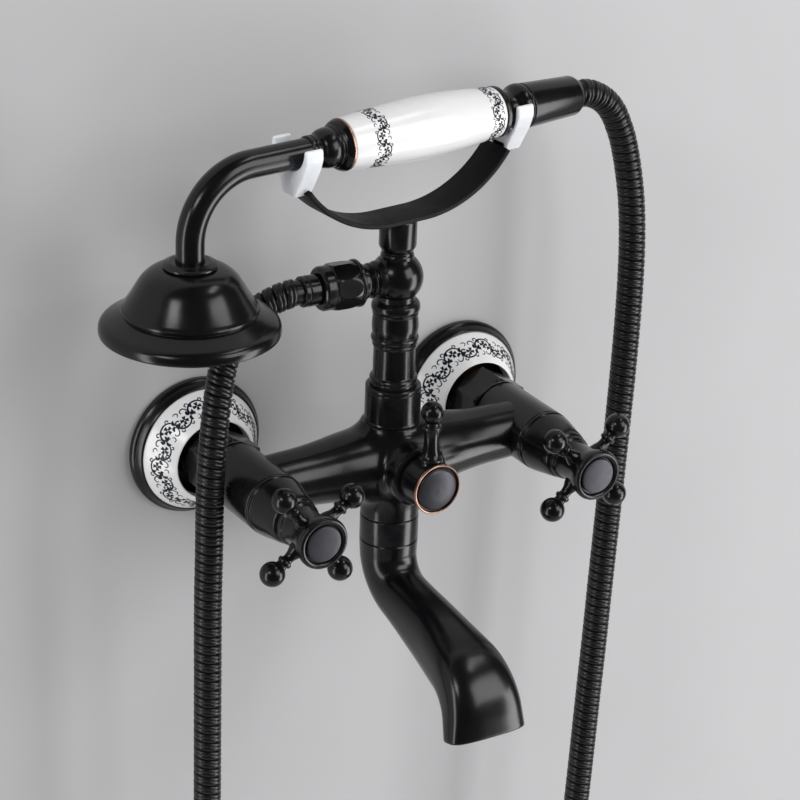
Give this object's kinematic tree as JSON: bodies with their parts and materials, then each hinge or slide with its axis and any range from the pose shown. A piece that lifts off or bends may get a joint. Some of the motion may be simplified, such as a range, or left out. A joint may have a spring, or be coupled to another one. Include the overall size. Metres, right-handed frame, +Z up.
{
  "type": "wall mounted bath shower mixer",
  "caption": "Wall mounted bath mixer with cross handles, a diverter lever, a curved spout and a porcelain telephone handset on a cradle with a looped hose.",
  "frame": {"origin": "on the wall face, midway between the two inlets", "axes": "+Z up, +X to the right as seen from the front, -Y out of the wall towards the user, so +Y runs along the inlets into the wall"},
  "size_m": [0.3035, 0.1736, 0.7344],
  "materials": {
    "black_finish": "satin near-black bronze over brass",
    "spout_black": "glossier black over brass",
    "hose_metal": "satin black interlocked spiral metal hose",
    "porcelain": "white glaze with thin black scrollwork",
    "ceramic_disc": "lapped",
    "brass_works": "machined",
    "copper_edge": "rubbed through copper edge",
    "rubber_seal": "matt",
    "liner_plastic": "translucent white",
    "satin_cap": "satin grey-mauve",
    "grey_plastic": "matt"
  },
  "bodies": {
    "faucet": {"valve_body": "black_finish", "left_escutcheon": "black_finish", "right_escutcheon": "black_finish", "left_porcelain_ring": "porcelain", "right_porcelain_ring": "porcelain", "left_union": "brass_works", "right_union": "brass_works", "left_union_nut": "black_finish", "right_union_nut": "black_finish", "left_inlet_washer": "rubber_seal", "right_inlet_washer": "rubber_seal", "left_cartridge": "brass_works", "right_cartridge": "brass_works", "left_fixed_disc": "ceramic_disc", "right_fixed_disc": "ceramic_disc", "left_bonnet": "black_finish", "right_bonnet": "black_finish", "diverter_cartridge": "brass_works", "diverter_retainer": "brass_works", "riser_collar": "black_finish", "riser_column": "black_finish", "ball_tee": "black_finish", "cradle_post": "black_finish", "cradle_bar": "black_finish", "cradle_screw": "black_finish", "left_hook_liner": "liner_plastic", "right_hook_liner": "liner_plastic", "tee_hose_nut": "black_finish", "tee_hose_washer": "rubber_seal", "tee_hose_ferrule": "black_finish", "hose": "hose_metal", "spout_collar": "black_finish", "spout": "spout_black", "spout_o_ring": "rubber_seal", "spout_strainer": "grey_plastic"},
    "left_handle": {"left_moving_disc": "ceramic_disc", "left_spindle": "brass_works", "left_cross_handle": "black_finish", "left_handle_screw": "brass_works", "left_index_button": "satin_cap"},
    "right_handle": {"right_moving_disc": "ceramic_disc", "right_spindle": "brass_works", "right_cross_handle": "black_finish", "right_handle_screw": "brass_works", "right_index_button": "satin_cap"},
    "diverter": {"diverter_rotor": "brass_works", "diverter_lever": "black_finish", "diverter_cap": "satin_cap"},
    "handset": {"head_shell": "black_finish", "head_collar": "black_finish", "spray_plate": "black_finish", "spray_nozzles": "rubber_seal", "gooseneck": "black_finish", "front_ferrule": "black_finish", "handle_core": "brass_works", "porcelain_handle": "porcelain", "rear_ferrule": "black_finish", "handset_hose_washer": "rubber_seal", "handset_hose_nut": "black_finish"}
  },
  "joints": [
    {"name": "left_handle_turn", "type": "hinge", "parent": "faucet", "child": "left_handle", "pos_m": [-0.075, -0.1, 0.0016], "axis": [0, -1, 0], "range_deg": [0, 90]},
    {"name": "right_handle_turn", "type": "hinge", "parent": "faucet", "child": "right_handle", "pos_m": [0.075, -0.1, 0.0016], "axis": [0, -1, 0], "range_deg": [-90, 0]},
    {"name": "diverter_turn", "type": "hinge", "parent": "faucet", "child": "diverter", "pos_m": [0, -0.087, 0.0016], "axis": [0, -1, 0], "range_deg": [-90, 0]},
    {"name": "handset_lift", "type": "slide", "parent": "faucet", "child": "handset", "axis": [0, 0, 1], "range_m": [0, 0.09], "deforming": ["hose"]}
  ]
}
